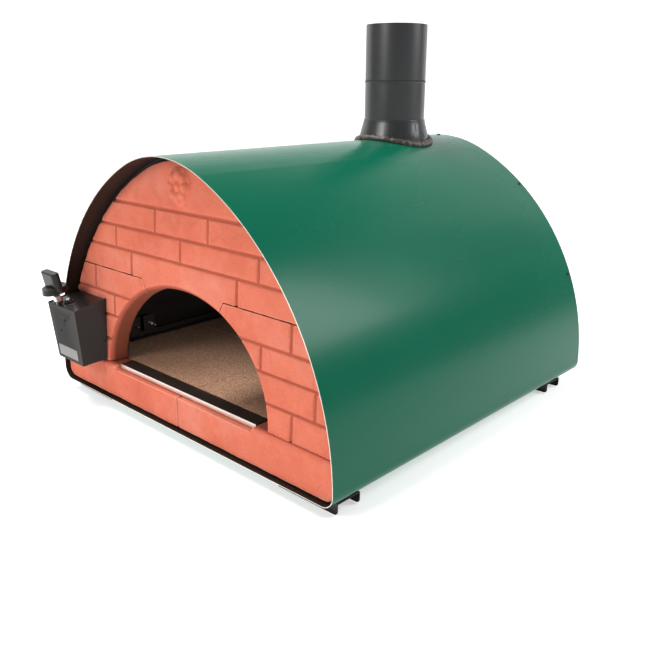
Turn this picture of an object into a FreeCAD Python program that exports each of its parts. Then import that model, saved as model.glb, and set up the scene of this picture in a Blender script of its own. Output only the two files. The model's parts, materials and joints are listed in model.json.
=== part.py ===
import FreeCAD, Part
import math
import os

os.makedirs("parts", exist_ok=True)
V = FreeCAD.Vector

# Barrel shell: a closed sheet wrapped round the oven, open at the front and the rear.
# X runs across the oven, Y from the shell's front edge to the rear, Z up from its underside.
half_width = 460.0
shell_depth = 931.0
shell_height = 576.0
sheet = 1.5
corner_radius = 28.0
side_radius = 572.0
side_x = half_width - side_radius
side_z = corner_radius
rise = shell_height - side_z
crown_radius = (side_radius**2 - side_x**2 - rise**2) / (2 * (side_radius - rise))
crown_z = shell_height - crown_radius

# Cast terracotta front: an arch, two side blocks and a two-piece sill. The arch and blocks are drawn
# upright with their face at facade_y, then lean back about the shell's floor.
facade_gap = 9.0
facade_y = 12.0
facade_back = 57.0
facade_lean = math.atan(0.07)
sill_gap = 6.0
sill_y = 9.0
sill_back = 62.0
sill_top = 84.0
block_bottom = 84.3
joint_gap = 1.4
mouth_half_width = 266.0
mouth_rise = 219.0
mouth_chamfer = 10.0
springer_z = 308.0
springer_x = 137.0
springer_drop = 37.0
springer_slope = 0.54
groove_depth = 4.0
groove_top = 4.5
groove_floor = 1.5
arch_courses = (361.0, 411.0, 465.0)
block_courses = (141.0, 199.0, 250.0)
arch_uprights = ((177.0, 308.0, 361.0), (0.0, 361.0, 411.0), (237.0, 361.0, 411.0), (88.0, 411.0, 465.0))
block_uprights = ((337.0, 84.0, 141.0), (394.0, 141.0, 199.0), (249.0, 199.0, 250.0), (328.0, 250.0, 308.0))
rosette_z = 516.0

# Hearth and chamber.
floor_z = 82.0
tile_thickness = 30.0
tile_under = floor_z - tile_thickness
tile_left = -382.0
tile_right = 418.0
tile_rows = (66.0, 345.0, 612.0, 876.0)
tile_gap = 2.4
strip_half = 236.0
strip_sheet = 2.0
strip_lip = 10.0
strip_front = 24.0
strip_rear = 58.0
strip_top = 86.3
vault_inset = 36.0
vault_sheet = 2.0
vault_seam_z = 400.0
chamber_rear = 876.5
rear_panel_y = 909.0

# Flue, for standard 150 mm stove pipe.
flue_y = 720.0
pipe_radius = 75.0
pipe_wall = 1.5
collar_radius = 87.0
collar_wall = 2.5
cone_bottom = 583.0
cone_top = 618.0
pipe_joint_z = 715.0
flue_top = 846.0

# Feet: folded channels, open downwards.
foot_height = 24.0
foot_width = 62.0
foot_sheet = 2.5
foot_inner = 290.0
foot_outer = 447.0
foot_fronts = (26.0, 797.0)

# Gas control box, left of the mouth; its lid slopes down to the front.
box_left_top = -404.0
box_left_foot = -393.0
box_right = -282.0
box_front_top = (-54.0, 219.0)
box_front_foot = (-45.0, 85.5)
box_rear_foot = (17.6, 89.0)
box_rear_top = (28.0, 235.0)
lid_recess = 2.0
lid_sheet = 2.0
lid_angle = math.atan2(box_rear_top[1] - box_front_top[1], box_rear_top[0] - box_front_top[0])
lid_normal = V(0, -math.sin(lid_angle), math.cos(lid_angle))
lid_along = V(0, math.cos(lid_angle), math.sin(lid_angle))
valve_x = -388.0
valve_y = -36.0
button_x = -356.0
button_y = -27.0
spindle_radius = 4.0
running_clearance = 0.05
knob_radius = 30.0
knob_lift = 24.0
knob_skirt = 13.0
grip_length = 60.0
grip_width = 20.0
grip_height = 50.0
spindle_end = 40.5
button_radius = 6.0
supply_z = 172.0
inlet_y = -20.0
inlet_z = 122.0
supply_fall_y = 118.0

nodes = {}


def box(x0, x1, y0, y1, z0, z1):
    return Part.makeBox(x1 - x0, y1 - y0, z1 - z0, V(x0, y0, z0))


def tube(outer, inner, length, base, axis):
    return Part.makeCylinder(outer, length, base, axis).cut(Part.makeCylinder(inner, length, base, axis))


def join(shapes):
    result = shapes[0]
    for shape in shapes[1:]:
        result = result.fuse(shape)
    return result.removeSplitter()


def cut_all(shape, tools):
    for tool in tools:
        shape = shape.cut(tool)
    return shape


def prism_xz(points, y0, y1):
    """Solid with an outline of (x, z) points, from y0 to y1."""
    corners = [V(x, y0, z) for x, z in points]
    return Part.Face(Part.makePolygon(corners + corners[:1])).extrude(V(0, y1 - y0, 0))


def prism_yz(points, x0, x1):
    """Solid with an outline of (y, z) points, from x0 to x1."""
    corners = [V(x0, y, z) for y, z in points]
    return Part.Face(Part.makePolygon(corners + corners[:1])).extrude(V(x1 - x0, 0, 0))


def barrel(inset, y0, y1, floor=None):
    """Solid of the barrel's section moved inwards by inset; floor cuts it off flat at that height."""
    side_r = side_radius - inset
    crown_r = crown_radius - inset
    join_angle = math.atan2(crown_z - side_z, -side_x)
    start = 0.0 if floor is None else math.asin((floor - side_z) / side_r)

    def on_side(angle):
        return V(side_x + side_r * math.cos(angle), y0, side_z + side_r * math.sin(angle))

    def mirrored(point):
        return V(-point.x, point.y, point.z)

    foot = on_side(start)
    middle = on_side((start + join_angle) / 2)
    shoulder = on_side(join_angle)
    crown = V(0, y0, crown_z + crown_r)
    edges = [
        Part.Arc(foot, middle, shoulder).toShape(),
        Part.Arc(shoulder, crown, mirrored(shoulder)).toShape(),
        Part.Arc(mirrored(shoulder), mirrored(middle), mirrored(foot)).toShape(),
    ]
    if floor is None:
        corner_r = corner_radius - inset
        corner_x = half_width - corner_radius
        lean = corner_r * math.sqrt(0.5)
        low = V(corner_x, y0, inset)
        bend = V(corner_x + lean, y0, corner_radius - lean)
        edges.append(Part.Arc(mirrored(foot), mirrored(bend), mirrored(low)).toShape())
        edges.append(Part.LineSegment(mirrored(low), low).toShape())
        edges.append(Part.Arc(low, bend, foot).toShape())
    else:
        edges.append(Part.LineSegment(mirrored(foot), foot).toShape())
    return Part.Face(Part.Wire(edges)).extrude(V(0, y1 - y0, 0))


def leaned(shape):
    """The shape tipped back with the front's lean, about the line where the front meets the shell's floor."""
    tipped = shape.copy()
    tipped.rotate(V(0, facade_y, 0), V(1, 0, 0), -math.degrees(facade_lean))
    return tipped


def ahead_of(y):
    """Everything in front of a leaning plane that stands at y on the shell's floor."""
    return leaned(box(-600, 600, y - 400.0, y, -100, 800))


def mouth(extra, y0, y1):
    """Half-elliptical solid of the mouth, larger by extra, from just under the sill's top upwards."""
    plane = Part.Ellipse(V(0, y0, sill_top), mouth_half_width + extra, mouth_rise + extra)
    plane.Axis = V(0, -1, 0)
    plane.XAxis = V(1, 0, 0)
    return Part.Face(Part.Wire([plane.toShape()])).extrude(V(0, y1 - y0, 0))


def mouth_flare():
    """Chamfer of the mouth's front edge, as a loft between two ellipses."""
    rings = []
    for extra, y in ((mouth_chamfer + 1.0, facade_y - 1.0), (0.0, facade_y + mouth_chamfer)):
        ring = Part.Ellipse(V(0, y, sill_top), mouth_half_width + extra, mouth_rise + extra)
        ring.Axis = V(0, -1, 0)
        ring.XAxis = V(1, 0, 0)
        rings.append(Part.Wire([ring.toShape()]))
    return Part.makeLoft(rings, True, True)


def level_groove(z):
    y0 = facade_y - 1.0
    spread = groove_top + (groove_top - groove_floor) / groove_depth
    outline = [(y0, z - spread), (facade_y + groove_depth, z - groove_floor)]
    outline += [(facade_y + groove_depth, z + groove_floor), (y0, z + spread)]
    return prism_yz(outline, -half_width, half_width)


def upright_groove(x, z0, z1):
    y0 = facade_y - 1.0
    spread = groove_top + (groove_top - groove_floor) / groove_depth
    corners = [V(x - spread, y0, z0), V(x - groove_floor, facade_y + groove_depth, z0)]
    corners += [V(x + groove_floor, facade_y + groove_depth, z0), V(x + spread, y0, z0)]
    return Part.Face(Part.makePolygon(corners + corners[:1])).extrude(V(0, 0, z1 - z0))


def both_sides(uprights):
    tools = []
    for x, z0, z1 in uprights:
        for side in sorted({x, -x}):
            tools.append(upright_groove(side, z0, z1))
    return tools


def rosette():
    """Plain round rosette of eight petals, standing on the arch's face."""
    petal_ring = 22.0
    petal_ball = 13.0
    petal_sink = 1.0
    plate = Part.makeCylinder(37.0, 6.0, V(0, facade_y - 3.0, rosette_z), V(0, 1, 0))
    bosses = [Part.makeSphere(12.0, V(0, facade_y + 1.0, rosette_z))]
    for step in range(8):
        angle = math.radians(45 * step)
        across, up = petal_ring * math.cos(angle), petal_ring * math.sin(angle)
        centre = V(across, facade_y + petal_sink, rosette_z + up)
        bosses.append(Part.makeSphere(petal_ball, centre))
    keep = box(-60, 60, facade_y - 20.0, facade_y + 3.0, rosette_z - 60, rosette_z + 60)
    return join([plate] + [boss.common(keep) for boss in bosses])


def arch_outline(drop):
    """Outline of everything above the springer joints, lowered by drop."""
    far = half_width + 60.0
    foot_x = springer_x - springer_slope * springer_drop
    level = springer_z - drop
    right = [(foot_x, level - springer_drop), (springer_x, level), (far, level)]
    top = shell_height + 100.0
    left = [(-x, z) for x, z in reversed(right)]
    return right + [(far, top), (-far, top)] + left


def make_facade():
    ring = barrel(facade_gap, facade_y, facade_back)
    ring = ring.cut(mouth(0.0, facade_y - 5.0, facade_back + 5.0))
    ring = ring.cut(mouth_flare())
    ring = leaned(ring).cut(box(-600, 600, -50, 150, -50, block_bottom))
    span = (facade_y - 30.0, facade_back + 30.0)
    arch = ring.common(leaned(prism_xz(arch_outline(0.0), *span)))
    arch_grooves = [level_groove(z) for z in arch_courses] + both_sides(arch_uprights)
    arch = cut_all(arch, [leaned(groove) for groove in arch_grooves])
    nodes["facade_arch"] = join([arch, leaned(rosette())])
    blocks = ring.cut(leaned(prism_xz(arch_outline(joint_gap), *span)))
    block_grooves = [level_groove(z) for z in block_courses] + both_sides(block_uprights)
    blocks = cut_all(blocks, [leaned(groove) for groove in block_grooves])
    pipe_hole = Part.makeCylinder(8.0, 90.0, V(valve_x, facade_y - 10.0, supply_z), V(0, 1, 0))
    blocks = blocks.cut(pipe_hole)
    sides = sorted(blocks.Solids, key=lambda solid: solid.CenterOfMass.x)
    nodes["facade_left_block"] = sides[0]
    nodes["facade_right_block"] = sides[-1]


def make_sills():
    whole = barrel(sill_gap, sill_y, sill_back).common(box(-600, 600, 0, 100, -50, sill_top))
    rebate_half = strip_half + 1.0
    ledge_y = strip_front + strip_sheet + 0.3
    whole = whole.cut(box(-rebate_half, rebate_half, 0, ledge_y, strip_top - strip_lip - 0.5, sill_top + 10))
    edge = [(sill_y - 1.0, sill_top - 5.0), (sill_y + 5.0, sill_top + 1.0), (sill_y - 1.0, sill_top + 1.0)]
    whole = whole.cut(prism_yz(edge, -half_width, -rebate_half))
    whole = whole.cut(prism_yz(edge, rebate_half, half_width))
    nodes["facade_left_sill"] = whole.cut(box(-joint_gap / 2, 600, 0, 100, -50, 200))
    nodes["facade_right_sill"] = whole.cut(box(-600, joint_gap / 2, 0, 100, -50, 200))


def make_lip_strip():
    lip_back = strip_front + strip_sheet
    plate = box(-strip_half, strip_half, strip_front, strip_rear, strip_top - strip_sheet, strip_top)
    lip = box(-strip_half, strip_half, strip_front, lip_back, strip_top - strip_lip, strip_top)
    nodes["mouth_lip_strip"] = join([plate, lip])


def make_shell():
    outer = barrel(0.0, 0.0, shell_depth)
    shell = outer.cut(barrel(sheet, -5.0, shell_depth + 5.0))
    flue_hole = Part.makeCylinder(pipe_radius + 3.0, 200.0, V(0, flue_y, shell_height - 100), V(0, 0, 1))
    floor_half = half_width - corner_radius
    shell = shell.cut(box(-floor_half, floor_half, -5.0, shell_depth + 5.0, -5.0, 5.0))
    nodes["outer_shell"] = cut_all(shell, [flue_hole] + screw_holes())
    floor = box(0.4 - floor_half, floor_half - 0.4, 0.0, shell_depth, 0.0, sheet)
    nodes["shell_floor"] = cut_all(floor, foot_holes())


def make_gasket():
    ring = barrel(sheet + 0.3, 0.0, 150.0, sill_top + 1.0)
    ring = ring.cut(barrel(facade_gap - 0.3, -10.0, 160.0, sill_top - 1.0))
    ring = ring.cut(ahead_of(facade_y + 9.0))
    nodes["facade_gasket"] = ring.common(ahead_of(facade_back - 1.0))


def make_front_frame():
    plate = barrel(sheet + 1.5, -10.0, 200.0, block_bottom)
    plate = plate.cut(ahead_of(facade_back + 0.4)).common(ahead_of(facade_back + 2.4))
    plate = plate.cut(leaned(mouth(3.0, facade_back - 5.0, facade_back + 10.0)))
    pipe_hole = Part.makeCylinder(8.0, 40.0, V(valve_x, facade_back - 5.0, supply_z), V(0, 1, 0))
    nodes["chamber_front_frame"] = plate.cut(pipe_hole)


def make_hearth():
    pan_half = 426.0
    front = tile_rows[0] + 1.0
    rear = 905.0
    pan = box(-pan_half, pan_half, front, rear, sheet + 0.2, 40.0)
    room = pan_half - sheet
    pan = pan.cut(box(-room, room, front + sheet, rear - sheet, 2 * sheet + 0.2, 50.0))
    nodes["base_pan"] = cut_all(pan, foot_holes())
    board = box(-pan_half + 2.0, pan_half - 2.0, front + 2.0, rear - 2.0, 2 * sheet + 0.4, tile_under - 0.1)
    pocket = [Part.makeCylinder(9.0, 8.0, V(x, y, 2.0), V(0, 0, 1)) for x, y in foot_bolt_places()]
    nodes["hearth_insulation_board"] = cut_all(board, pocket)
    columns = (("left", tile_left, -tile_gap / 2), ("right", tile_gap / 2, tile_right))
    names = ("front", "middle", "rear")
    for row, name in enumerate(names):
        for side, x0, x1 in columns:
            y0 = tile_rows[row] + (tile_gap if row else 0.0)
            tile = box(x0, x1, y0, tile_rows[row + 1], tile_under, floor_z)
            nodes["hearth_tile_%s_%s" % (name, side)] = tile


def make_chamber():
    behind_frame = ahead_of(facade_back + 2.8)
    vault = barrel(vault_inset, tile_rows[0], chamber_rear, tile_under + 0.2).cut(behind_frame)
    vault = vault.cut(barrel(vault_inset + vault_sheet, 0, 1000, tile_under - 1.0))
    spigot_hole = Part.makeCylinder(72.8, 300.0, V(0, flue_y, 400), V(0, 0, 1))
    vault = vault.cut(spigot_hole)
    nodes["vault_crown_panel"] = vault.common(box(-600, 600, 0, 1000, vault_seam_z, 700))
    nodes["vault_left_panel"] = vault.common(box(-600, 0, 0, 1000, 0, vault_seam_z - 0.6))
    nodes["vault_right_panel"] = vault.common(box(0, 600, 0, 1000, 0, vault_seam_z - 0.6))
    blanket = barrel(sheet + 2.0, tile_rows[0] + 2.0, rear_panel_y - 5.0, tile_under + 0.2).cut(behind_frame)
    blanket = blanket.cut(barrel(vault_inset - 0.3, 0, 1000, tile_under - 1.0))
    nodes["vault_insulation"] = blanket.cut(Part.makeCylinder(79.0, 300.0, V(0, flue_y, 400), V(0, 0, 1)))
    back_inset = vault_inset + vault_sheet + 0.4
    nodes["chamber_rear_wall"] = barrel(back_inset, chamber_rear, chamber_rear + 2.0, tile_under)
    nodes["rear_insulation"] = barrel(back_inset, chamber_rear + 2.2, rear_panel_y - 6.0, tile_under)


def make_rear_panel():
    flange_depth = 16.0
    outer = barrel(sheet + 0.3, rear_panel_y, rear_panel_y + flange_depth)
    hollow = barrel(2 * sheet + 0.3, rear_panel_y + sheet, rear_panel_y + flange_depth + 5.0)
    nodes["rear_panel"] = cut_all(outer.cut(hollow), screw_holes())


def screw_places():
    """Points on the shell's skin near its rear edge, with the outward direction at each."""
    places = [(V(0, rear_panel_y + 9.0, shell_height), V(0, 0, 1))]
    for height in (254.0, 465.0):
        angle = math.asin((height - side_z) / side_radius)
        for side in (-1, 1):
            x = side_x + side_radius * math.cos(angle)
            outward = V(side * math.cos(angle), 0, math.sin(angle))
            places.append((V(side * x, rear_panel_y + 9.0, height), outward))
    return places


def screw_holes():
    return [Part.makeCylinder(2.1, 12.0, point - out * 6.0, out) for point, out in screw_places()]


def make_rear_screws():
    screws = []
    for point, out in screw_places():
        head = Part.makeCylinder(4.5, 2.2, point + out * 0.1, out)
        outer_rim = [edge for edge in head.Edges if edge.CenterOfMass.sub(point).dot(out) > 2.0]
        head = head.makeFillet(1.2, outer_rim)
        shank = Part.makeCylinder(2.0, 6.5, point - out * 6.0, out)
        recess = Part.makeCone(0.6, 1.6, 1.4, point + out * 1.0, out)
        screws.append(head.fuse(shank).cut(recess))
    nodes["rear_panel_screws"] = Part.makeCompound(screws)


def make_flue():
    axis = V(0, 0, 1)
    spigot = tube(72.5, 71.0, 90.0, V(0, flue_y, 515.0), axis)
    nodes["flue_spigot"] = spigot.cut(barrel(vault_inset + vault_sheet, 0, 1000, 100.0))
    base = V(0, flue_y, 540.0)
    skirt = tube(collar_radius, collar_radius - collar_wall, cone_bottom - 540.0, base, axis)
    cone_height = cone_top - cone_bottom
    cone_base = V(0, flue_y, cone_bottom)
    neck_radius = pipe_radius + 2.5
    cone = Part.makeCone(collar_radius, neck_radius, cone_height, cone_base, axis)
    inner_cone = Part.makeCone(collar_radius - collar_wall, pipe_radius + 0.3, cone_height, cone_base, axis)
    neck = tube(neck_radius, pipe_radius + 0.3, 5.0, V(0, flue_y, cone_top), axis)
    collar = join([skirt, cone.cut(inner_cone), neck])
    nodes["flue_collar"] = collar.cut(barrel(-0.2, 0, 1000))
    bead = tube(collar_radius + 10.0, collar_radius + 0.2, 80.0, V(0, flue_y, 530.0), axis)
    bead = bead.common(barrel(-8.0, 0, 1000, 100.0))
    nodes["flue_seal_bead"] = bead.cut(barrel(-0.2, 0, 1000))
    lower = tube(pipe_radius, pipe_radius - pipe_wall, pipe_joint_z - 598.0, V(0, flue_y, 598.0), axis)
    rim = tube(pipe_radius + 1.2, pipe_radius - 0.5, 4.0, V(0, flue_y, pipe_joint_z - 4.0), axis)
    nodes["flue_lower_pipe"] = join([lower, rim])
    plug_radius = pipe_radius - pipe_wall - 0.3
    plug = tube(plug_radius, plug_radius - pipe_wall, 42.0, V(0, flue_y, pipe_joint_z - 35.0), axis)
    shoulder = tube(pipe_radius, plug_radius - pipe_wall, 6.6, V(0, flue_y, pipe_joint_z + 0.4), axis)
    upper_base = V(0, flue_y, pipe_joint_z + 7.0)
    upper = tube(pipe_radius, pipe_radius - pipe_wall, flue_top - upper_base.z, upper_base, axis)
    nodes["flue_upper_pipe"] = join([plug, shoulder, upper])


def foot_places():
    for row, y in zip(("front", "rear"), foot_fronts):
        for side, sign in (("left", -1), ("right", 1)):
            yield "foot_%s_%s" % (row, side), sign, y


def foot_bolt_places():
    places = []
    for _, sign, y in foot_places():
        for x in (foot_inner + 30.0, foot_outer - 40.0):
            places.append((sign * x, y + foot_width / 2))
    return places


def foot_holes():
    return [Part.makeCylinder(4.2, 12.0, V(x, y, -6.0), V(0, 0, 1)) for x, y in foot_bolt_places()]


def make_feet():
    bolts = []
    for name, sign, y in foot_places():
        x0, x1 = sorted((sign * foot_inner, sign * foot_outer))
        channel = box(x0, x1, y, y + foot_width, -foot_height, 0.0)
        inner_y = (y + foot_sheet, y + foot_width - foot_sheet)
        hollow = box(x0 - 5, x1 + 5, *inner_y, -foot_height - 5, -foot_sheet)
        channel = channel.cut(hollow)
        lower = [edge for edge in channel.Edges if is_foot_corner(edge)]
        nodes[name] = cut_all(channel.makeFillet(8.0, lower), foot_holes())
    for x, y in foot_bolt_places():
        head = Part.makeCylinder(7.0, 4.0, V(x, y, -foot_sheet - 4.1), V(0, 0, 1))
        bolts.append(head.fuse(Part.makeCylinder(4.0, 7.8, V(x, y, -foot_sheet - 0.1), V(0, 0, 1))))
    nodes["foot_bolts"] = Part.makeCompound(bolts)


def is_foot_corner(edge):
    """True for the short edge through a flange's sheet at one of its free lower corners."""
    box_of = edge.BoundBox
    level = box_of.ZMax < -foot_height + 0.1
    return level and box_of.XLength < 0.1 and abs(box_of.YLength - foot_sheet) < 0.1


def box_side(inset, open_side):
    """Side view of the control box moved inwards; open_side lengthens the top and the rear."""
    out = 30.0 if open_side else 0.0
    front_y, front_z = box_front_top
    foot_y, foot_z = box_front_foot
    rear_y, rear_z = box_rear_top
    lean = (foot_y - front_y) / (front_z - foot_z)
    floor_rise = (box_rear_foot[1] - foot_z) / (box_rear_foot[0] - foot_y)
    return [
        (front_y + inset - lean * out, front_z + out),
        (foot_y + inset, foot_z + inset),
        (box_rear_foot[0] + out, box_rear_foot[1] + inset + floor_rise * out),
        (rear_y + out, rear_z + 2.0 * out),
    ]


def box_left_at(z):
    """Where the box's leaning left wall stands at a height."""
    share = (z - box_front_foot[1]) / (box_front_top[1] - box_front_foot[1])
    return box_left_foot + share * (box_left_top - box_left_foot)


def box_front(inset):
    """Front view of the control box moved inwards, higher and lower than the box itself."""
    low, high = 60.0, 300.0
    right = box_right - inset
    return [(box_left_at(low) + inset, low), (right, low), (right, high), (box_left_at(high) + inset, high)]


def lid_point(x, y, above=0.0):
    """Point over the lid's upper face, at the given distance along its normal."""
    rim_z = box_front_top[1] + (y - box_front_top[0]) * math.tan(lid_angle)
    return V(x, y, rim_z) + lid_normal * (above - lid_recess)


def make_control_box():
    wide = (-500.0, -200.0)
    deep = (-120.0, 120.0)
    outer = prism_yz(box_side(0.0, False), *wide).common(prism_xz(box_front(0.0), *deep))
    inner = prism_yz(box_side(sheet, True), *wide).common(prism_xz(box_front(sheet), *deep))
    body = outer.cut(inner)
    front_holes = []
    for x, z in ((-335.0, 187.0), (-359.0, 158.5)):
        front_holes.append(Part.makeCylinder(2.6, 30.0, V(x, -75.0, z), V(0, 1, 0)))
    inlet_hole = Part.makeCylinder(7.2, 20.0, V(box_left_at(inlet_z) - 10.0, inlet_y, inlet_z), V(1, 0, 0))
    nodes["control_box_body"] = cut_all(body, front_holes + [inlet_hole])
    inside = prism_xz(box_front(sheet + 0.2), *deep)
    y0 = box_front_top[0] + sheet + 0.6
    y1 = box_rear_top[0] - 3.4
    top = [lid_point(0, y0), lid_point(0, y1), lid_point(0, y1, -lid_sheet), lid_point(0, y0, -lid_sheet)]
    plate = prism_yz([(point.y, point.z) for point in top], *wide).common(inside)
    spindle_hole = Part.makeCylinder(5.0, 20.0, lid_point(valve_x, valve_y, -10.0), lid_normal)
    button_hole = Part.makeCylinder(8.9, 20.0, lid_point(button_x, button_y, -10.0), lid_normal)
    nodes["control_box_lid"] = cut_all(plate, [spindle_hole, button_hole])
    rear_lean = (box_rear_top[0] - box_rear_foot[0]) / (box_rear_top[1] - box_rear_foot[1])
    low, high = box_rear_foot[1] + 2.2, box_rear_top[1] - 3.0
    low_y = box_rear_foot[0] + rear_lean * (low - box_rear_foot[1])
    high_y = box_rear_foot[0] + rear_lean * (high - box_rear_foot[1])
    back = prism_yz([(low_y - 2.0, low), (low_y, low), (high_y, high), (high_y - 2.0, high)], *wide)
    back_hole = Part.makeCylinder(7.0, 60.0, V(valve_x, -10.0, supply_z), V(0, 1, 0))
    nodes["control_box_back_plate"] = back.common(inside).cut(back_hole)
    screws = []
    for z, y in ((134.0, 15.0), (200.0, 20.0)):
        for x, out in ((box_right, V(1, 0, 0)), (box_left_at(z + 3.2), V(-1, 0, 0))):
            head = Part.makeCylinder(3.2, 1.8, V(x, y, z) + out * 0.1, out)
            screws.append(head.cut(Part.makeCylinder(1.2, 1.5, V(x, y, z) + out * 1.0, out)))
    nodes["control_box_screws"] = Part.makeCompound(screws)
    lean = (box_front_foot[0] - box_front_top[0]) / (box_front_top[1] - box_front_foot[1])
    low, high = 94.0, 120.0
    low_y = box_front_foot[0] - lean * (low - box_front_foot[1])
    high_y = box_front_foot[0] - lean * (high - box_front_foot[1])
    plate = [(low_y - 0.7, low), (low_y - 0.1, low), (high_y - 0.1, high), (high_y - 0.7, high)]
    nodes["rating_plate"] = prism_yz(plate, -383.0, -300.0)


def make_valve():
    low = lid_point(valve_x, valve_y, -40.0)
    barrel_body = Part.makeCylinder(11.0, 40.0 - lid_sheet - 0.2, low, lid_normal)
    chest = box(valve_x - 9.0, valve_x + 11.0, -42.0, -12.0, 156.0, 188.0)
    outlet = Part.makeCylinder(8.0, 20.0, V(valve_x, -12.0, supply_z), V(0, 1, 0))
    bore_base = lid_point(valve_x, valve_y, -30.0)
    bore = Part.makeCylinder(spindle_radius + running_clearance, 40.0, bore_base, lid_normal)
    nodes["gas_valve_body"] = join([barrel_body, chest, outlet]).cut(bore)
    stem_foot = -28.0
    stem_base = lid_point(valve_x, valve_y, stem_foot)
    stem = Part.makeCylinder(spindle_radius, spindle_end - stem_foot, stem_base, lid_normal)
    nodes["valve_spindle"] = stem.cut(flat_tool(knob_lift - 8.0, 3.0))
    ring_base = lid_point(valve_x, valve_y, 0.1)
    collar = Part.makeCone(11.0, 7.5, 14.0, ring_base, lid_normal)
    nodes["spindle_collar"] = collar.cut(Part.makeCylinder(5.0, 15.0, ring_base, lid_normal))


def flat_tool(start, distance):
    """Block that cuts a flat along the spindle, beginning at start above the lid."""
    corner = lid_point(valve_x, valve_y, start)
    block = Part.makeBox(40.0, 20.0, 80.0, V(-20.0, distance, 0.0))
    block.Placement = FreeCAD.Placement(corner, FreeCAD.Rotation(V(1, 0, 0), math.degrees(lid_angle)))
    return block


def make_knob():
    base = lid_point(valve_x, valve_y, knob_lift)
    skirt = Part.makeCone(knob_radius, knob_radius - 2.5, knob_skirt, base, lid_normal)
    corner = V(-grip_length / 2, -grip_width / 2, knob_skirt / 2)
    grip = Part.makeBox(grip_length, grip_width, grip_height - knob_skirt / 2, corner)
    grip = grip.makeFillet(9.0, [edge for edge in grip.Edges if edge.BoundBox.ZLength > 20.0])
    grip = grip.makeFillet(3.5, [edge for edge in grip.Edges if edge.BoundBox.ZMin > grip_height - 0.1])
    grip.Placement = FreeCAD.Placement(base, FreeCAD.Rotation(V(1, 0, 0), math.degrees(lid_angle)))
    bore = Part.makeCylinder(spindle_radius + running_clearance, 22.0, base, lid_normal)
    bore = bore.cut(flat_tool(0.0, 3.0 + running_clearance))
    nodes["gas_knob"] = join([skirt, grip]).cut(bore)


def make_igniter():
    low = lid_point(button_x, button_y, -55.0)
    body = Part.makeCylinder(8.8, 55.0, low, lid_normal)
    socket = lid_point(button_x, button_y, -17.0)
    socket_radius = button_radius + running_clearance
    nodes["igniter_body"] = body.cut(Part.makeCylinder(socket_radius, 30.0, socket, lid_normal))
    nut_base = lid_point(button_x, button_y, 0.1)
    nodes["igniter_nut"] = tube(11.0, 8.9, 3.0, nut_base, lid_normal)
    cap = Part.makeCylinder(button_radius, 19.0, lid_point(button_x, button_y, -10.0), lid_normal)
    top = lid_point(button_x, button_y, 9.0)
    cap = cap.makeFillet(1.5, [edge for edge in cap.Edges if (edge.CenterOfMass - top).Length < 0.5])
    nodes["igniter_button"] = cap


def make_gas_line():
    wall_x = box_left_at(inlet_z)
    thread = Part.makeCylinder(7.0, 12.0, V(wall_x - 13.5, inlet_y, inlet_z), V(1, 0, 0))
    neck = Part.makeCylinder(5.0, valve_x - wall_x + 13.5, V(wall_x - 13.5, inlet_y, inlet_z), V(1, 0, 0))
    nut = Part.makeCylinder(10.0, 5.0, V(wall_x + 3.2, inlet_y, inlet_z), V(1, 0, 0))
    elbow = Part.makeSphere(5.0, V(valve_x, inlet_y, inlet_z))
    riser = Part.makeCylinder(5.0, 155.9 - inlet_z, V(valve_x, inlet_y, inlet_z), V(0, 0, 1))
    bore = Part.makeCylinder(3.0, 18.0, V(wall_x - 13.5, inlet_y, inlet_z), V(1, 0, 0))
    nodes["gas_inlet_fitting"] = join([thread, neck, nut, elbow, riser]).cut(bore)
    run_y = 8.1
    fall_z = floor_z + 4.2
    run = Part.makeCylinder(6.0, supply_fall_y - run_y, V(valve_x, run_y, supply_z), V(0, 1, 0))
    bend = Part.makeSphere(6.0, V(valve_x, supply_fall_y, supply_z))
    fall = Part.makeCylinder(6.0, supply_z - fall_z, V(valve_x, supply_fall_y, fall_z), V(0, 0, 1))
    nodes["burner_supply_pipe"] = join([run, bend, fall])


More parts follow.
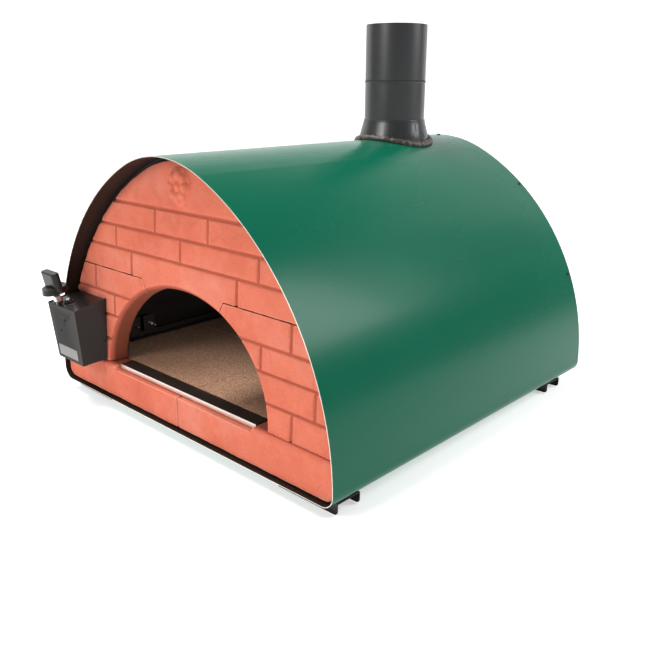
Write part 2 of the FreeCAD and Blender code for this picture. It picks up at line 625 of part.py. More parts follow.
def make_burner():
    burner_x = -402.0
    burner_z = 74.0
    block_front = supply_fall_y - 13.0
    block_rear = supply_fall_y + 13.0
    block = box(-413.0, tile_left - 0.4, block_front, block_rear, 63.0, 90.0)
    block = block.fuse(box(-413.0, valve_x + 12.0, block_front, block_rear, floor_z + 0.2, 106.0))
    block = block.cut(Part.makeCylinder(6.1, 40.0, V(valve_x, supply_fall_y, floor_z + 4.0), V(0, 0, 1)))
    pipe = Part.makeCylinder(9.0, 600.0, V(burner_x, block_rear - 1.0, burner_z), V(0, 1, 0))
    ports = [box(burner_x - 1.0, burner_x + 1.0, 150 + 40 * i, 170 + 40 * i, 76.0, 90.0) for i in range(14)]
    nodes["burner_tube"] = cut_all(block.fuse(pipe), ports)
    guard_x = tile_left + 1.0
    guard_front = block_rear + 3.0
    guard_foot = box(guard_x, guard_x + 20.0, guard_front, 480.0, floor_z + 0.1, floor_z + 1.6)
    guard_wall = box(guard_x, guard_x + 1.5, guard_front, 480.0, floor_z + 0.1, floor_z + 14.0)
    nodes["burner_guard"] = join([guard_foot, guard_wall])
    wall_x = guard_x + 1.8
    rod_z = floor_z + 34.0
    for name, y in (("thermocouple", 158.0), ("electrode", 200.0)):
        wall = box(wall_x, wall_x + 1.5, y - 16.0, y + 16.0, floor_z + 1.7, floor_z + 54.0)
        foot = box(wall_x, wall_x + 17.0, y - 16.0, y + 16.0, floor_z + 1.7, floor_z + 3.2)
        hole = Part.makeCylinder(3.1, 20.0, V(wall_x - 8.0, y, rod_z), V(1, 0, 0))
        nodes[name + "_bracket"] = join([wall, foot]).cut(hole)
        sleeve = Part.makeCylinder(3.0, 28.0, V(wall_x - 12.0, y, rod_z), V(1, 0, 0))
        if name == "electrode":
            tip = Part.makeCylinder(1.2, 16.0, V(wall_x + 15.0, y, rod_z), V(1, 0, 0))
            nodes["igniter_electrode"] = join([sleeve, tip])
        else:
            nodes[name] = join([sleeve, Part.makeSphere(3.0, V(wall_x + 16.0, y, rod_z))])


make_shell()
make_facade()
make_sills()
make_lip_strip()
make_gasket()
make_front_frame()
make_hearth()
make_chamber()
make_rear_panel()
make_rear_screws()
make_flue()
make_feet()
make_control_box()
make_valve()
make_knob()
make_igniter()
make_gas_line()
make_burner()

# The part's origin is on the ground, in the middle of its footprint.
footprint = Part.makeCompound(list(nodes.values())).BoundBox
shift = V(-footprint.Center.x, -footprint.Center.y, foot_height)
for name, shape in nodes.items():
    placed = shape.copy()
    placed.translate(shift)
    solids = placed.Solids
    valid = all(solid.isValid() for solid in solids)
    print(name, len(solids), "valid" if valid else "NOT VALID", [round(v, 1) for v in placed.BoundBox.Center])
    placed.exportStep("parts/%s.step" % name)
print("nodes", len(nodes), "size", footprint.XLength, footprint.YLength, footprint.ZLength, "shift", shift)
print("knob axis", lid_normal, "at", lid_point(valve_x, valve_y) + shift)
print("button at", lid_point(button_x, button_y) + shift)
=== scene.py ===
import json
import math

import bmesh
import bpy
from mathutils import Euler, Matrix, Vector, noise


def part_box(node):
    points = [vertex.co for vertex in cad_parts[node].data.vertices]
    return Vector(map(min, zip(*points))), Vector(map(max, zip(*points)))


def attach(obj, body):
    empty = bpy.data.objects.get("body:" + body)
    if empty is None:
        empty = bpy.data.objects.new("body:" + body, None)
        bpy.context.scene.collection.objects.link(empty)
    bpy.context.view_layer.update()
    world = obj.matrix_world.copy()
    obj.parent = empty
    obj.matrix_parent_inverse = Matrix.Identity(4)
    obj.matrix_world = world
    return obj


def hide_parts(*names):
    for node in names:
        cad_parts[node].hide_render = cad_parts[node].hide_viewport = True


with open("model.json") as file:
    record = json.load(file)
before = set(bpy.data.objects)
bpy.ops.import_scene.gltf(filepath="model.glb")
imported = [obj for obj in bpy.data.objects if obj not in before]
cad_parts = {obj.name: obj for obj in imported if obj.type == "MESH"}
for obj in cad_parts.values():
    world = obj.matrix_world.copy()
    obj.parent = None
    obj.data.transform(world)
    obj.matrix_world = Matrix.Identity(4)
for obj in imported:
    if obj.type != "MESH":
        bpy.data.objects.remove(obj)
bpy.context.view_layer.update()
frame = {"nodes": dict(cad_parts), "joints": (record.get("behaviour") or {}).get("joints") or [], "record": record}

OVEN = "oven"
MM = 0.001
shell_low, shell_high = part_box("outer_shell")
width = shell_high.x - shell_low.x
front_y = shell_low.y
rear_y = shell_high.y
hearth_front_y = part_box("hearth_tile_front_left")[0].y
pipe_low, pipe_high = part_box("flue_upper_pipe")
flue = (pipe_low + pipe_high) / 2
pipe_joint_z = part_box("flue_lower_pipe")[1].z
# The cast front leans back from the shell's front edge.
FACE_SETBACK = 12.0 * MM
FACE_LEAN = 0.07
# The barrel's upper arc.
CROWN_RADIUS = 298.7 * MM
# Where the camera stands, in shell widths from the shell's lower front middle, and how it is turned.
EYE_RIGHT, EYE_FORWARD, EYE_UP = 1.33618, 0.9084, 0.77122
AZIMUTH, ELEVATION, ROLL = 43.352, 17.899, 0.202
LENS_MM, SENSOR_MM = 41.487, 36.0
joints = {joint["name"]: joint for joint in frame["joints"]}


# ---------------------------------------------------------------- shader building

class Value:
    """An output socket of a material; arithmetic on it adds Math nodes."""

    def __init__(self, finish, socket):
        self.finish = finish
        self.socket = socket

    def math(self, operation, *others, clamp=False):
        settings = {"operation": operation, "use_clamp": clamp}
        return self.finish.node("ShaderNodeMath", settings, dict(enumerate((self,) + others)))

    def __add__(self, other):
        return self.math("ADD", other)

    def __sub__(self, other):
        return self.math("SUBTRACT", other)

    def __mul__(self, other):
        return self.math("MULTIPLY", other)

    def __truediv__(self, other):
        return self.math("DIVIDE", other)

    def __rsub__(self, other):
        return (self * -1.0) + other

    def __neg__(self):
        return self * -1.0

    __radd__ = __add__
    __rmul__ = __mul__

    def above(self, level, soft):
        """0 below the level, 1 once soft past it."""
        return ((self - level) / soft).math("ADD", 0.0, clamp=True)


class Finish:
    """A material whose surface is one Principled shader."""

    def __init__(self, name, **fixed):
        self.material = bpy.data.materials.new(name)
        self.material.use_nodes = True
        self.tree = self.material.node_tree
        self.shader = self.tree.nodes["Principled BSDF"]
        for socket, value in fixed.items():
            self.set(socket.replace("_", " "), value)
        self.place = self.node("ShaderNodeTexCoord", {}, {}, "Object")

    def node(self, kind, settings, inputs, output=0):
        """Adds a node, sets it up, then gives its sockets values or links."""
        made = self.tree.nodes.new(kind)
        for key, value in settings.items():
            if key == "stops":
                for spot, (at, colour) in enumerate(value):
                    stop = made.color_ramp.elements[spot] if spot < 2 else made.color_ramp.elements.new(at)
                    stop.position = at
                    stop.color = (*colour, 1.0)
            else:
                setattr(made, key, value)
        for key, value in inputs.items():
            self.join(made.inputs[key], value)
        return Value(self, made.outputs[output])

    def join(self, socket, value):
        if isinstance(value, Value):
            self.tree.links.new(value.socket, socket)
        elif isinstance(value, tuple) and len(value) == 3 and socket.type == "RGBA":
            socket.default_value = (*value, 1.0)
        else:
            socket.default_value = value

    def set(self, socket, value):
        self.join(self.shader.inputs[socket], value)

    def stretch(self, x, y, z):
        return self.node("ShaderNodeVectorMath", {"operation": "MULTIPLY"}, {0: self.place, 1: (x, y, z)})

    def noise(self, scale, detail=3.0, roughness=0.5, at=None, distortion=0.0):
        inputs = {"Vector": at or self.place, "Scale": scale, "Detail": detail}
        inputs["Roughness"] = roughness
        inputs["Distortion"] = distortion
        return self.node("ShaderNodeTexNoise", {}, inputs, "Fac")

    def cells(self, scale):
        inputs = {"Vector": self.place, "Scale": scale}
        return self.node("ShaderNodeTexVoronoi", {}, inputs, "Distance")

    def axis(self, name):
        return self.node("ShaderNodeSeparateXYZ", {}, {0: self.place}, name)

    def facing(self, x, y, z):
        """How far the surface faces a direction, from -1 to 1."""
        normal = self.node("ShaderNodeNewGeometry", {}, {}, "True Normal")
        inputs = {0: normal, 1: (x, y, z)}
        return self.node("ShaderNodeVectorMath", {"operation": "DOT_PRODUCT"}, inputs, "Value")

    def mix(self, amount, first, second):
        settings = {"data_type": "RGBA", "clamp_factor": True}
        return self.node("ShaderNodeMix", settings, {0: amount, 6: first, 7: second}, 2)

    def ramp(self, value, *stops):
        return self.node("ShaderNodeValToRGB", {"stops": stops}, {0: value}, "Color")

    def bump(self, height, depth, strength=1.0, under=None):
        inputs = {"Height": height, "Distance": depth, "Strength": strength}
        if under is not None:
            inputs["Normal"] = under
        return self.node("ShaderNodeBump", {}, inputs, "Normal")

    def painted_edge_highlight(self, spread):
        """1 on convex edges, from the surface's pointiness; it masks a painted edge highlight."""
        point = self.node("ShaderNodeNewGeometry", {}, {}, "Pointiness")
        return point.above(0.5 + spread, spread)


# ---------------------------------------------------------------- finishes

def green_enamel():
    f = Finish("green_enamel", Specular_IOR_Level=0.16)
    x, y, z = f.axis("X"), f.axis("Y"), f.axis("Z")
    normal = f.node("ShaderNodeNewGeometry", {}, {}, "True Normal")
    centre_height = (shell_low.z + shell_high.z) / 2
    spoke = f.node("ShaderNodeCombineXYZ", {}, {0: x, 2: z - centre_height})
    outwards = f.node("ShaderNodeVectorMath", {"operation": "DOT_PRODUCT"}, {0: normal, 1: spoke}, "Value")
    outside = outwards.above(-0.004, 0.008)
    rim = (-y).above(-front_y - 0.0006, 0.0004).math("MAXIMUM", y.above(rear_y - 0.001, 0.0004))
    clouds = f.noise(2.2, 4.0)
    streaks = f.noise(7.0, 3.0, at=f.stretch(1.0, 0.25, 1.0))
    specks = f.cells(160.0).above(0.03, 0.02)
    green = f.mix(clouds, (0.0002, 0.112, 0.060), (0.0008, 0.142, 0.078))
    # Lighter bands running along the barrel: partly tone variation, partly painted reflection bands.
    green = f.mix(streaks.above(0.55, 0.3) * 0.25, green, (0.002, 0.160, 0.092))
    green = f.mix(1.0 - specks, green, (0.015, 0.160, 0.105))
    # Darker green towards the bottom of the barrel: painted shade.
    low = 1.0 - z.above(shell_low.z + 0.10, 0.22)
    green = f.mix(low * 0.38, green, (0.0, 0.070, 0.038))
    brown = f.mix(f.noise(30.0), (0.016, 0.011, 0.009), (0.034, 0.021, 0.017))
    skin = f.mix(outside, brown, green)
    metal = f.mix(f.noise(300.0), (0.62, 0.58, 0.50), (0.86, 0.82, 0.74))
    f.set("Base Color", f.mix(rim, skin, metal))
    gloss = 0.20 + 0.10 * clouds + 0.05 * streaks
    f.set("Roughness", gloss * outside + 0.55 * (1.0 - outside) + 0.12 * rim)
    f.set("Coat Weight", 0.03 * outside * (1.0 - rim))
    f.set("Metallic", 0.8 * rim)
    f.shader.inputs["Coat Roughness"].default_value = 0.12
    peel = f.bump(f.noise(420.0, 2.0), 0.00006, 0.5)
    f.set("Normal", f.bump(f.noise(3.5, 2.0), 0.0025, 0.25, under=peel))
    return f.material


def terracotta():
    f = Finish("terracotta", Specular_IOR_Level=0.2)
    y, z = f.axis("Y"), f.axis("Z")
    depth = y - (front_y + FACE_SETBACK - FACE_LEAN * shell_low.z) - z * FACE_LEAN
    broad = f.noise(5.0, 5.0, 0.6)
    patch = f.noise(22.0, 5.0, 0.65, distortion=0.4)
    grain = f.noise(260.0, 4.0, 0.7)
    pores = f.cells(210.0).above(0.12, 0.12)
    dark, middle, light = (0.56, 0.128, 0.074), (0.66, 0.165, 0.097), (0.74, 0.215, 0.137)
    colour = f.ramp(broad, (0.25, dark), (0.5, middle), (0.78, light))
    colour = f.mix(patch.above(0.5, 0.25) * 0.4, colour, (0.78, 0.245, 0.160))
    colour = f.mix((1.0 - patch).above(0.56, 0.2) * 0.5, colour, (0.46, 0.096, 0.055))
    colour = f.mix(grain.above(0.62, 0.12) * 0.35, colour, (0.82, 0.36, 0.26))
    colour = f.mix((1.0 - pores) * 0.5, colour, (0.30, 0.066, 0.040))
    # Lighter on convex edges: a painted edge highlight.
    colour = f.mix(f.painted_edge_highlight(0.02) * 0.55, colour, (0.88, 0.36, 0.25))
    # Darker in the cast grooves, by depth behind the face: painted shade in the recesses.
    groove_painted_shade = depth.above(0.0012, 0.0022) * (0.50 + 0.4 * patch)
    colour = f.mix(groove_painted_shade, colour, (0.34, 0.074, 0.042))
    dust = f.noise(9.0, 4.0, 0.6).above(0.50, 0.25) * (1.0 - depth.above(0.0, 0.002))
    colour = f.mix(dust * 0.40, colour, (0.74, 0.33, 0.27))
    # Much darker on the mouth's reveal, set back behind the face: painted shade inside the arch.
    reveal_painted_shade = depth.above(0.004, 0.006) * (f.noise(14.0) * 0.3 + 0.75)
    colour = f.mix(reveal_painted_shade * 0.92, colour, (0.17, 0.044, 0.022))
    f.set("Base Color", colour)
    f.set("Roughness", 0.80 + 0.16 * patch)
    rough = f.bump(grain, 0.0004, 0.55)
    pits = f.bump(pores, 0.0005, 0.5, under=rough)
    f.set("Normal", f.bump(patch, 0.0016, 0.6, under=pits))
    return f.material


def hearth_stone():
    f = Finish("hearth_stone", Specular_IOR_Level=0.25)
    y = f.axis("Y")
    sand = f.noise(420.0, 3.0, 0.7)
    clumps = f.noise(95.0, 4.0, 0.6)
    clouds = f.noise(6.0, 3.0)
    colour = f.mix(clumps, (0.26, 0.130, 0.075), (0.45, 0.255, 0.160))
    colour = f.mix(sand.above(0.55, 0.08) * 0.7, colour, (0.64, 0.45, 0.31))
    colour = f.mix((1.0 - sand).above(0.56, 0.06) * 0.85, colour, (0.085, 0.050, 0.036))
    # Darker towards the back of the oven: painted shade deep inside the mouth.
    rear_painted_shade = (y - hearth_front_y) / (rear_y - hearth_front_y)
    rear_painted_shade = (rear_painted_shade * 1.5 + 0.3 * clouds - 0.3).math("ADD", 0.0, clamp=True)
    colour = f.mix(rear_painted_shade * 0.75, colour, (0.050, 0.038, 0.034))
    f.set("Base Color", colour)
    f.set("Roughness", 0.78 + 0.18 * sand)
    f.set("Normal", f.bump(sand, 0.0005, 0.7, under=f.bump(clumps, 0.0008, 0.4)))
    return f.material


def heat_dark_steel():
    f = Finish("heat_dark_steel")
    stain = f.noise(9.0, 5.0, 0.6, at=f.stretch(1.0, 0.5, 1.6))
    fine = f.noise(180.0, 3.0)
    dark, middle, light = (0.012, 0.010, 0.010), (0.035, 0.026, 0.022), (0.075, 0.050, 0.038)
    colour = f.ramp(stain, (0.3, dark), (0.55, middle), (0.8, light))
    f.set("Base Color", f.mix(fine.above(0.6, 0.1) * 0.4, colour, (0.10, 0.075, 0.06)))
    f.set("Metallic", 0.35 + 0.3 * stain)
    f.set("Roughness", 0.42 + 0.3 * fine)
    f.set("Normal", f.bump(fine, 0.0002, 0.4))
    return f.material


def lip_steel():
    f = Finish("lip_steel")
    # Faces turned to the front are bright steel and the rest dark: partly bare steel, partly a painted highlight
    # on the front face.
    front = f.facing(0.0, -1.0, 0.0).above(0.25, 0.35)
    brush = f.noise(40.0, 3.0, at=f.stretch(0.3, 6.0, 14.0))
    dull = f.noise(26.0, 4.0)
    top = f.mix(dull, (0.020, 0.013, 0.011), (0.070, 0.045, 0.036))
    bright = f.mix(brush, (0.80, 0.77, 0.71), (0.97, 0.95, 0.90))
    f.set("Base Color", f.mix(front, top, bright))
    f.set("Metallic", 0.55 + 0.2 * front)
    f.set("Roughness", 0.36 + 0.12 * brush - 0.05 * front)
    f.set("Normal", f.bump(brush, 0.0001, 0.35))
    return f.material


def powder_coat():
    f = Finish("black_powder_coat", Specular_IOR_Level=0.1)
    texture = f.noise(700.0, 2.0)
    soft = f.noise(12.0, 3.0)
    colour = f.mix(soft, (0.0030, 0.0024, 0.0024), (0.0065, 0.0054, 0.0054))
    colour = f.mix(texture.above(0.62, 0.08) * 0.4, colour, (0.018, 0.016, 0.016))
    # Lighter on convex edges: a painted edge highlight.
    f.set("Base Color", f.mix(f.painted_edge_highlight(0.03) * 0.5, colour, (0.12, 0.11, 0.105)))
    f.set("Roughness", 0.34 + 0.14 * soft + 0.08 * texture)
    f.set("Normal", f.bump(texture, 0.00012, 0.6))
    return f.material


def gloss_lid():
    f = Finish("gloss_black_lid", Specular_IOR_Level=0.4)
    dust = f.noise(60.0, 5.0, 0.7)
    colour = f.mix(dust, (0.012, 0.010, 0.010), (0.022, 0.019, 0.018))
    f.set("Base Color", f.mix(dust.above(0.66, 0.08) * 0.5, colour, (0.09, 0.085, 0.08)))
    f.set("Roughness", 0.16 + 0.16 * dust)
    f.set("Normal", f.bump(f.noise(500.0, 2.0), 0.00004, 0.5))
    return f.material


def knob_plastic():
    f = Finish("knob_plastic", Specular_IOR_Level=0.3)
    skin = f.noise(900.0, 2.0)
    rub = f.noise(35.0, 4.0, 0.6)
    axis = Vector(joints["valve_turn"]["axis"])
    # Faces turned up along the spindle are painted lighter: painted light on the knob's top.
    top_faces_painted_light = f.facing(*axis).above(0.7, 0.2)
    colour = f.mix(rub, (0.003, 0.0026, 0.0026), (0.007, 0.006, 0.006))
    colour = f.mix(top_faces_painted_light * 0.6, colour, (0.060, 0.058, 0.055))
    # Lighter on convex edges: a painted edge highlight.
    f.set("Base Color", f.mix(f.painted_edge_highlight(0.03) * 0.6, colour, (0.14, 0.135, 0.13)))
    f.set("Roughness", 0.22 + 0.16 * rub + 0.12 * top_faces_painted_light)
    f.set("Normal", f.bump(skin, 0.00006, 0.5))
    return f.material


def flue_enamel():
    f = Finish("flue_enamel", Specular_IOR_Level=0.9)
    grain = f.noise(520.0, 2.0)
    long_streak = f.noise(16.0, 4.0, at=f.stretch(1.0, 1.0, 0.18))
    warm = f.noise(4.0, 3.0)
    colour = f.mix(long_streak, (0.010, 0.011, 0.013), (0.022, 0.022, 0.024))
    colour = f.mix(warm.above(0.5, 0.3) * 0.4, colour, (0.046, 0.034, 0.026))
    colour = f.mix(grain.above(0.64, 0.08) * 0.35, colour, (0.10, 0.10, 0.105))
    seam = 1.0 - (f.axis("Z") - pipe_joint_z).math("ABSOLUTE").above(1.6 * MM, 0.8 * MM)
    f.set("Base Color", f.mix(seam * 0.9, colour, (0.002, 0.002, 0.002)))
    f.set("Roughness", 0.24 + 0.12 * long_streak + 0.06 * grain + 0.4 * seam)
    f.set("Normal", f.bump(grain, 0.00008, 0.5, under=f.bump(warm, 0.0008, 0.2)))
    return f.material


def fire_cement():
    f = Finish("fire_cement", Specular_IOR_Level=0.6)
    lumps = f.noise(70.0, 4.0, 0.6)
    bits = f.cells(240.0).above(0.2, 0.2)
    dark, middle, light = (0.018, 0.014, 0.012), (0.050, 0.038, 0.030), (0.16, 0.12, 0.095)
    colour = f.ramp(lumps, (0.3, dark), (0.55, middle), (0.8, light))
    f.set("Base Color", f.mix((1.0 - bits) * 0.4, colour, (0.22, 0.17, 0.13)))
    f.set("Roughness", 0.26 + 0.3 * lumps)
    f.set("Normal", f.bump(lumps, 0.003, 0.8, under=f.bump(bits, 0.0006, 0.4)))
    return f.material


def fibre():
    f = Finish("ceramic_fibre", Sheen_Weight=0.3)
    tufts = f.noise(120.0, 6.0, 0.7, distortion=1.5)
    colour = f.mix(tufts, (0.55, 0.52, 0.46), (0.86, 0.84, 0.78))
    f.set("Base Color", colour)
    f.set("Roughness", 0.85 + 0.1 * tufts)
    f.set("Normal", f.bump(tufts, 0.002, 0.8))
    return f.material


def insulation_board():
    f = Finish("insulation_board")
    chalk = f.noise(90.0, 5.0, 0.65)
    specks = f.cells(320.0).above(0.2, 0.1)
    colour = f.mix(chalk, (0.50, 0.46, 0.40), (0.72, 0.69, 0.62))
    f.set("Base Color", f.mix((1.0 - specks) * 0.5, colour, (0.36, 0.32, 0.27)))
    f.set("Roughness", 0.86 + 0.1 * chalk)
    f.set("Normal", f.bump(chalk, 0.001, 0.6))
    return f.material


def brass():
    f = Finish("turned_brass")
    turned = f.noise(60.0, 3.0, at=f.stretch(12.0, 1.0, 1.0))
    tarnish = f.noise(25.0, 4.0, 0.6)
    colour = f.mix(tarnish, (0.62, 0.40, 0.13), (0.88, 0.66, 0.30))
    f.set("Base Color", f.mix(tarnish.above(0.62, 0.1) * 0.6, colour, (0.28, 0.17, 0.07)))
    f.set("Metallic", 0.95)
    f.set("Roughness", 0.24 + 0.2 * tarnish)
    f.set("Normal", f.bump(turned, 0.0001, 0.4))
    return f.material


def plated_steel():
    f = Finish("plated_steel")
    smear = f.noise(80.0, 3.0)
    colour = f.mix(smear, (0.62, 0.61, 0.60), (0.88, 0.88, 0.89))
    f.set("Base Color", colour)
    f.set("Metallic", 1.0)
    f.set("Roughness", 0.10 + 0.16 * smear)
    f.set("Normal", f.bump(f.noise(600.0), 0.00003, 0.4))
    return f.material


def seal_rope():
    f = Finish("woven_seal", Sheen_Weight=0.2)
    threads = {"Scale": 120.0, "Distortion": 1.5}
    weave = f.node("ShaderNodeTexWave", {"bands_direction": "DIAGONAL"}, threads, "Fac")
    fuzz = f.noise(400.0, 4.0)
    f.set("Base Color", f.mix(weave * 0.5 + fuzz * 0.3, (0.008, 0.007, 0.007), (0.032, 0.027, 0.025)))
    f.set("Roughness", 0.8 + 0.15 * fuzz)
    f.set("Normal", f.bump(weave, 0.0006, 0.7, under=f.bump(fuzz, 0.0004, 0.5)))
    return f.material


def blank_label():
    f = Finish("blank_label")
    rub = f.noise(70.0, 4.0)
    colour = f.mix(rub, (0.012, 0.011, 0.011), (0.024, 0.022, 0.021))
    # Lighter on convex edges: a painted edge highlight.
    f.set("Base Color", f.mix(f.painted_edge_highlight(0.03), colour, (0.22, 0.21, 0.20)))
    f.set("Roughness", 0.36 + 0.2 * rub)
    f.set("Metallic", 0.2)
    f.set("Normal", f.bump(f.noise(500.0), 0.00004, 0.4))
    return f.material


def ignition_ceramic():
    f = Finish("electrode_ceramic", Specular_IOR_Level=0.5)
    soot = f.noise(110.0, 4.0)
    f.set("Base Color", f.mix(soot.above(0.45, 0.25), (0.80, 0.77, 0.70), (0.22, 0.18, 0.15)))
    f.set("Roughness", 0.25 + 0.3 * soot)
    f.set("Normal", f.bump(soot, 0.0001, 0.4))
    return f.material


finishes = {
    "green_enamel": green_enamel(),
    "terracotta": terracotta(),
    "hearth_stone": hearth_stone(),
    "dark_steel": heat_dark_steel(),
    "bright_steel": lip_steel(),
    "plated_steel": plated_steel(),
    "black_powder_coat": powder_coat(),
    "black_plastic": knob_plastic(),
    "flue_enamel": flue_enamel(),
    "fire_cement": fire_cement(),
    "ceramic_fibre": fibre(),
    "insulation_board": insulation_board(),
    "brass": brass(),
    "blank_label": blank_label(),
    "seal_rope": seal_rope(),
}
special_finishes = {
    "control_box_lid": gloss_lid(),
    "igniter_electrode": ignition_ceramic(),
}
slots = {part["node"]: part["material_slot"] for part in frame["record"]["subparts"]}


def finish_of(node):
    return special_finishes.get(node) or finishes[slots[node]]


for name, cad_object in frame["nodes"].items():
    cad_object.data.materials.clear()
    cad_object.data.materials.append(finish_of(name))


# ---------------------------------------------------------------- piece building

def body_of_node(node):
    for body, members in frame["record"]["behaviour"]["bodies"].items():
        if node in members:
            return body


def place(name, bm, finish, body, smooth_angle=35.0):
    """Turns a bmesh into a piece that rides on a body."""
    mesh = bpy.data.meshes.new(name)
    bm.to_mesh(mesh)
    bm.free()
    mesh.polygons.foreach_set("use_smooth", [True] * len(mesh.polygons))
    mesh.set_sharp_from_angle(angle=math.radians(smooth_angle))
    mesh.materials.append(finish)
    piece = bpy.data.objects.new(name, mesh)
    bpy.context.collection.objects.link(piece)
    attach(piece, body)
    return piece


def merged_copy(node):
    """The node's mesh as one connected bmesh, with its flat faces made whole."""
    bm = bmesh.new()
    bm.from_mesh(frame["nodes"][node].data)
    bmesh.ops.remove_doubles(bm, verts=bm.verts, dist=2e-6)
    bmesh.ops.dissolve_limit(bm, angle_limit=math.radians(0.6), verts=bm.verts, edges=bm.edges)
    return bm


def soften(bm, size, segments=2, corner=32.0):
    """Rounds every edge that turns by more than the corner angle."""
    limit = math.radians(corner)
    sharp = [e for e in bm.edges if len(e.link_faces) == 2 and e.calc_face_angle(0.0) > limit]
    bmesh.ops.bevel(
        bm, geom=sharp, offset=size, offset_type="OFFSET", affect="EDGES", segments=segments,
        profile=0.5, clamp_overlap=True, material=-1,
    )


def softened_piece(node, size, segments=2):
    """A copy of a node with rounded edges, shown in the node's place; its flat faces stay flat."""
    bm = merged_copy(node)
    soften(bm, size, segments)
    piece = place(node + "_finished", bm, finish_of(node), body_of_node(node), 14.0)
    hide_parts(node)


def cast_piece(node, voxel, lump):
    """A copy of a node as a rough casting: soft arrises, and a surface that is never quite flat."""
    bm = merged_copy(node)
    mesh = bpy.data.meshes.new(node + "_blank")
    bm.to_mesh(mesh)
    bm.free()
    blank = bpy.data.objects.new(node + "_blank", mesh)
    bpy.context.collection.objects.link(blank)
    remesh = blank.modifiers.new("voxels", "REMESH")
    remesh.mode = "VOXEL"
    remesh.voxel_size = voxel
    depsgraph = bpy.context.evaluated_depsgraph_get()
    dense = bpy.data.meshes.new_from_object(blank.evaluated_get(depsgraph))
    bm = bmesh.new()
    bm.from_mesh(dense)
    bpy.data.objects.remove(blank)
    bpy.data.meshes.remove(mesh)
    bpy.data.meshes.remove(dense)
    for _ in range(2):
        bmesh.ops.smooth_vert(
            bm, verts=bm.verts, factor=0.5, use_axis_x=True, use_axis_y=True, use_axis_z=True,
        )
    bm.normal_update()
    for vert in bm.verts:
        slow = noise.noise(vert.co * 28.0)
        quick = noise.noise(vert.co * 110.0)
        vert.co += vert.normal * lump * (0.7 * slow + 0.3 * quick - 0.6)
    piece = place(node + "_casting", bm, finish_of(node), OVEN, 180.0)
    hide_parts(node)


def lathe(bm, outline, centre, steps):
    """Spins a closed outline of (radius, height) points round an upright axis through the centre."""
    ring = [bm.verts.new(centre + Vector((r, 0, h))) for r, h in outline]
    edges = [bm.edges.new((ring[i], ring[(i + 1) % len(ring)])) for i in range(len(ring))]
    bmesh.ops.spin(
        bm, geom=ring + edges, cent=centre, axis=(0, 0, 1), angle=math.tau, steps=steps,
        use_merge=True, dvec=(0, 0, 0),
    )
    bmesh.ops.remove_doubles(bm, verts=bm.verts, dist=1e-7)
    bmesh.ops.recalc_face_normals(bm, faces=bm.faces)


# ---------------------------------------------------------------- the oven's own pieces

def shell_height_at(x):
    """Height of the barrel's skin over a point across its crown."""
    return shell_high.z - CROWN_RADIUS + math.sqrt(CROWN_RADIUS**2 - x**2)


def make_front():
    for node in ("facade_arch", "facade_left_block", "facade_right_block"):
        cast_piece(node, 2.1 * MM, 0.7 * MM)
    for node in ("facade_left_sill", "facade_right_sill"):
        cast_piece(node, 2.4 * MM, 0.9 * MM)


def make_hearth():
    for row in ("front", "middle", "rear"):
        for side in ("left", "right"):
            softened_piece("hearth_tile_%s_%s" % (row, side), 1.4 * MM, 2)


def make_seal_bead():
    """Bead of sealant smeared by hand round the collar, following the barrel's curve."""
    low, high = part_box("flue_collar")
    ring = (high.x - low.x) / 2 + 4.5 * MM
    half_wide, half_high = 8.0 * MM, 7.5 * MM
    sides = 14
    bm = bmesh.new()
    centre = Vector((flue.x, flue.y, 0.0))
    outline = []
    for step in range(sides):
        angle = math.tau * step / sides
        outline.append((ring + half_wide * math.cos(angle), half_high * math.sin(angle)))
    lathe(bm, outline, centre, 220)
    bm.normal_update()
    for vert in bm.verts:
        away = vert.co - centre
        bearing = Vector((away.x, away.y, 0)).normalized()
        swell = noise.noise(bearing * 9.0) + 0.6 * noise.noise(bearing * 24.0 + Vector((0, 0, 3)))
        vert.co += vert.normal * (2.2 * MM * swell + 1.0 * MM * noise.noise(vert.co * 260.0))
        vert.co.z += shell_height_at(vert.co.x) + 4.5 * MM
    piece = place("flue_seal_bead_smear", bm, finishes["fire_cement"], OVEN, 180.0)
    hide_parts("flue_seal_bead")


def make_flue():
    softened_piece("flue_collar", 0.8 * MM, 2)
    for node in ("flue_lower_pipe", "flue_upper_pipe"):
        softened_piece(node, 0.4 * MM, 2)


def make_control_box():
    softened_piece("control_box_body", 1.1 * MM, 3)
    softened_piece("control_box_lid", 0.5 * MM, 2)
    softened_piece("rating_plate", 0.2 * MM, 2)
    softened_piece("control_box_screws", 0.4 * MM, 2)
    softened_piece("spindle_collar", 0.8 * MM, 3)
    softened_piece("igniter_nut", 0.8 * MM, 3)
    softened_piece("gas_inlet_fitting", 0.4 * MM, 2)


def make_knob():
    softened_piece("gas_knob", 0.5 * MM, 2)


def make_feet():
    for row in ("front", "rear"):
        for side in ("left", "right"):
            softened_piece("foot_%s_%s" % (row, side), 0.5 * MM, 2)


make_front()
make_hearth()
make_seal_bead()
make_flue()
make_control_box()
make_knob()
make_feet()
softened_piece("mouth_lip_strip", 0.4 * MM, 2)


# ---------------------------------------------------------------- studio

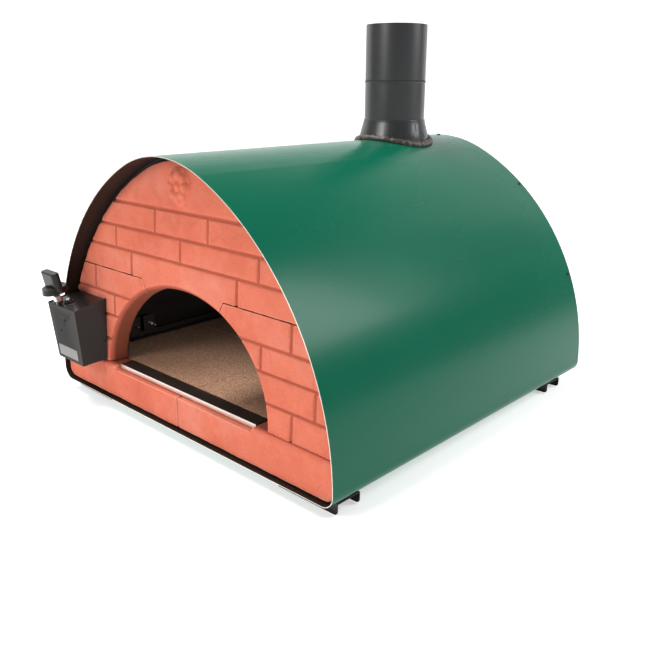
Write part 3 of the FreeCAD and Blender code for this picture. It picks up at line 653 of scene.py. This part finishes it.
def make_studio():
    """Pale round floor, with a curved white wall on the side the camera looks towards."""
    bm = bmesh.new()
    reach, bend, wall = 5.0, 1.6, 6.0
    floor_radius, floor_drop = 9.0, 0.002
    wall_middle, wall_arc = 133.4, 124.0
    outline = [(0.0, 0.0), (reach, 0.0)]
    for step in range(1, 9):
        angle = math.radians(90 * step / 8)
        outline.append((reach + bend * math.sin(angle), bend * (1 - math.cos(angle))))
    outline.append((reach + bend, wall))
    start = Matrix.Rotation(math.radians(wall_middle - wall_arc / 2), 3, "Z")
    ring = [bm.verts.new(start @ Vector((r, 0, h))) for r, h in outline]
    edges = [bm.edges.new(pair) for pair in zip(ring, ring[1:])]
    bmesh.ops.spin(
        bm, geom=ring + edges, cent=(0, 0, 0), axis=(0, 0, 1), angle=math.radians(wall_arc), steps=48,
    )
    lowered = Matrix.Translation((0, 0, -floor_drop))
    bmesh.ops.create_circle(bm, cap_ends=True, radius=floor_radius, segments=72, matrix=lowered)
    bmesh.ops.remove_doubles(bm, verts=bm.verts, dist=1e-6)
    bmesh.ops.recalc_face_normals(bm, faces=bm.faces)
    mesh = bpy.data.meshes.new("studio_floor")
    bm.to_mesh(mesh)
    bm.free()
    mesh.polygons.foreach_set("use_smooth", [True] * len(mesh.polygons))
    f = Finish("studio_paper", Specular_IOR_Level=0.1, Emission_Strength=0.50)
    f.set("Base Color", f.mix(f.noise(3.0), (0.93, 0.93, 0.93), (0.95, 0.95, 0.95)))
    f.set("Emission Color", (1.0, 1.0, 1.0))
    f.set("Roughness", 0.85 + 0.05 * f.noise(20.0))
    mesh.materials.append(f.material)
    floor = bpy.data.objects.new("studio_floor", mesh)
    bpy.context.collection.objects.link(floor)


def add_light(name, place_at, target, size, power, colour=(1.0, 1.0, 1.0)):
    lamp = bpy.data.lights.new(name, "AREA")
    lamp.shape = "RECTANGLE"
    lamp.size, lamp.size_y = size
    lamp.energy = power
    lamp.color = colour
    holder = bpy.data.objects.new(name, lamp)
    holder.location = place_at
    holder.rotation_euler = (Vector(target) - Vector(place_at)).to_track_quat("-Z", "Y").to_euler()
    bpy.context.collection.objects.link(holder)


def make_camera():
    eye = Vector((EYE_RIGHT * width, front_y - EYE_FORWARD * width, shell_low.z + EYE_UP * width))
    azimuth, elevation, roll = (math.radians(turn) for turn in (AZIMUTH, ELEVATION, ROLL))
    lens = bpy.data.cameras.new("camera")
    lens.lens = LENS_MM
    lens.sensor_width = SENSOR_MM
    lens.clip_start = 0.01
    holder = bpy.data.objects.new("camera", lens)
    turn = Euler((math.pi / 2 - elevation, 0.0, azimuth)).to_matrix() @ Matrix.Rotation(roll, 3, "Z")
    holder.matrix_world = Matrix.Translation(eye) @ turn.to_4x4()
    bpy.context.collection.objects.link(holder)
    bpy.context.scene.camera = holder


make_studio()
add_light("overhead_softbox", (-1.0, -0.6, 3.2), (0, 0, 0.4), (2.0, 2.0), 95.0)
add_light("front_softbox", (-0.5, -3.6, 2.1), (0, -0.2, 0.3), (1.4, 1.2), 58.0, (1.0, 0.985, 0.96))
add_light("side_strip", (2.2, 1.7, 2.1), (0.2, 0.1, 0.4), (0.9, 1.8), 52.0, (0.97, 0.99, 1.0))
add_light("mouth_fill", (0.10, front_y + 0.13, 0.27), (-0.4, front_y + 0.20, 0.15), (0.14, 0.08), 0.5)
world = bpy.data.worlds.new("soft_daylight")
world.use_nodes = True
sky = world.node_tree.nodes["Background"]
sky.inputs["Color"].default_value = (1.0, 1.0, 1.0, 1.0)
sky.inputs["Strength"].default_value = 0.20
bpy.context.scene.world = world
bpy.context.scene.view_settings.view_transform = "Standard"
make_camera()
